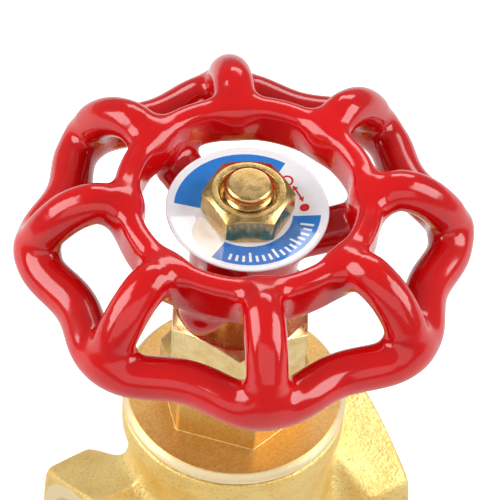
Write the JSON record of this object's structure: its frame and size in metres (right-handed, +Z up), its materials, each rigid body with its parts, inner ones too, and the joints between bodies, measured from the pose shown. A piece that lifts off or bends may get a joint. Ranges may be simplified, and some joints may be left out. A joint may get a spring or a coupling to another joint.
{
  "type": "gate valve",
  "caption": "Small brass gate valve with hexagonal female-threaded pipe ends, a screwed bonnet, a non-rising stem and a lobed red handwheel.",
  "frame": {"origin": "bottom centre of the box: under the stem axis, level with the lowest corner of the hexagonal pipe ends", "axes": "+Z up along the stem axis to the handwheel, +X along the pipe axis out of the outlet end"},
  "size_m": [0.0552, 0.0552, 0.0821],
  "materials": {
    "cast_brass": "satin, fine-blasted casting",
    "machined_brass": "turned and milled, semi-bright",
    "bright_brass": "polished",
    "red_enamel": "thick glossy dip coat",
    "nameplate": "printed and lacquered",
    "ptfe": "satin",
    "graphite": "matt"
  },
  "bodies": {
    "root": {"body": "cast_brass", "bonnet_gasket": "ptfe", "bonnet": "machined_brass", "retaining_ring": "machined_brass", "packing_washer": "machined_brass", "packing_ring_1": "graphite", "packing_ring_2": "graphite", "packing_ring_3": "graphite", "gland": "machined_brass", "packing_nut": "machined_brass"},
    "stem_assembly": {"stem": "bright_brass", "thrust_washer": "ptfe", "handwheel": "red_enamel", "nameplate": "nameplate", "wheel_nut": "bright_brass"},
    "gate": {"wedge": "machined_brass"}
  },
  "joints": [
    {"name": "stem_turn", "type": "hinge", "parent": "root", "child": "stem_assembly", "pos_m": [0, 0, 0.06], "axis": [0, 0, 1], "range_deg": [0, 2556]},
    {"name": "gate_lift", "type": "slide", "parent": "root", "child": "gate", "axis": [0, 0, 1], "range_m": [0, 0.0143]}
  ],
  "couplings": [
    {"joint": "gate_lift", "follows": "stem_turn", "m_per_rad": 0.00031831}
  ]
}
